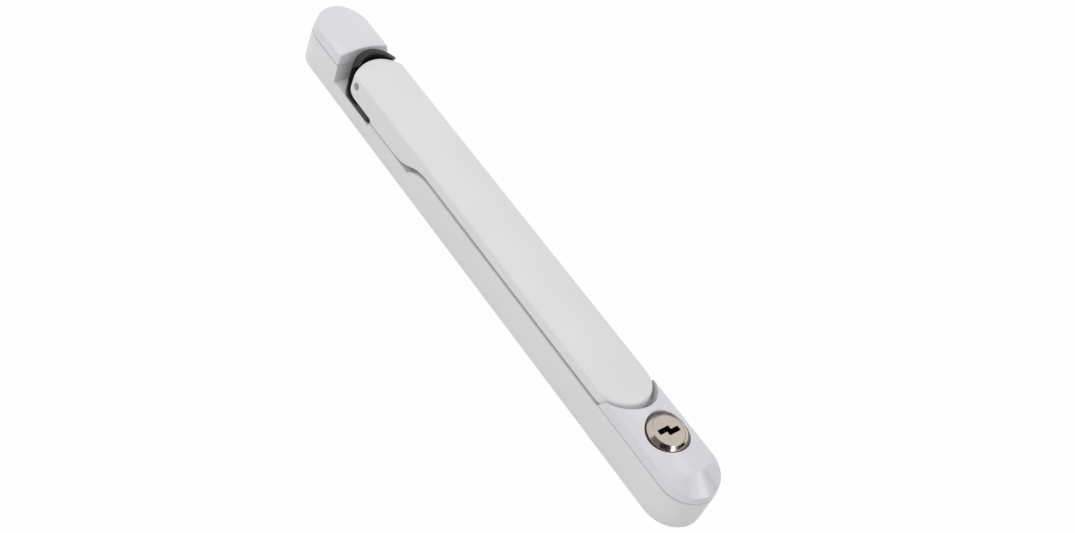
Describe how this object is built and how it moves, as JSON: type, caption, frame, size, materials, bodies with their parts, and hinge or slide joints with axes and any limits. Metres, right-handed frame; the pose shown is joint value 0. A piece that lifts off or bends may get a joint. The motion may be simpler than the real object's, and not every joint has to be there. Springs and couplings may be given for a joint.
{
  "type": "espagnolette window handle",
  "caption": "Slim in-line window handle whose lever folds flat on a long base, lifts out on a hinge, turns the spindle and locks by key at its tip.",
  "frame": {"origin": "on the spindle axis, in the plane of the flat back that lies on the window", "axes": "+X along the handle from the pivot to the lock, +Z out of the window along the spindle axis, +Y across"},
  "size_m": [0.241, 0.024, 0.0209],
  "materials": {
    "white_coat": "semi-gloss white powder coat",
    "white_moulding": "white moulded plastic with a soft sheen",
    "black_coat": "satin black coating",
    "nickel": "satin nickel plate",
    "bright_steel": "bright zinc-plated steel",
    "spring_steel": "oiled spring steel",
    "nylon": "natural nylon",
    "soft_rubber": "matt black rubber"
  },
  "bodies": {
    "base": {"base_body": "white_coat", "upper_cap": "white_moulding", "lock_cap": "white_moulding", "hub_bush": "nylon", "disc_spring": "spring_steel", "lock_barrel": "nickel", "slide_plate": "bright_steel", "slide_plate_screws": "bright_steel", "rest_buffers": "soft_rubber"},
    "pivot_hub": {"hub": "black_coat", "retaining_ring": "spring_steel"},
    "lever_arm": {"lever": "white_coat", "hinge_pin": "bright_steel", "lock_catch": "bright_steel", "lever_plunger": "nylon", "plunger_spring": "spring_steel"},
    "key_plug": {"lock_plug": "nickel", "friction_ring": "soft_rubber", "plug_clip": "spring_steel"},
    "bolt_slide": {"lock_slide": "bright_steel"}
  },
  "joints": [
    {"name": "hub_turn", "type": "hinge", "parent": "base", "child": "pivot_hub", "pos_m": [0, 0, 0], "axis": [0, 0, 1], "range_deg": [-90, 90]},
    {"name": "lever_lift", "type": "hinge", "parent": "pivot_hub", "child": "lever_arm", "pos_m": [0, 0, 0.015], "axis": [0, -1, 0], "range_deg": [0, 90]},
    {"name": "key_turn", "type": "hinge", "parent": "base", "child": "key_plug", "pos_m": [0.1755, 0, 0.0209], "axis": [0, 0, 1], "range_deg": [0, 90]},
    {"name": "slide_throw", "type": "slide", "parent": "base", "child": "bolt_slide", "axis": [-1, 0, 0], "range_m": [0, 0.0045]}
  ],
  "couplings": [
    {"joint": "slide_throw", "follows": "key_turn", "m_per_rad": 0.0028647}
  ]
}
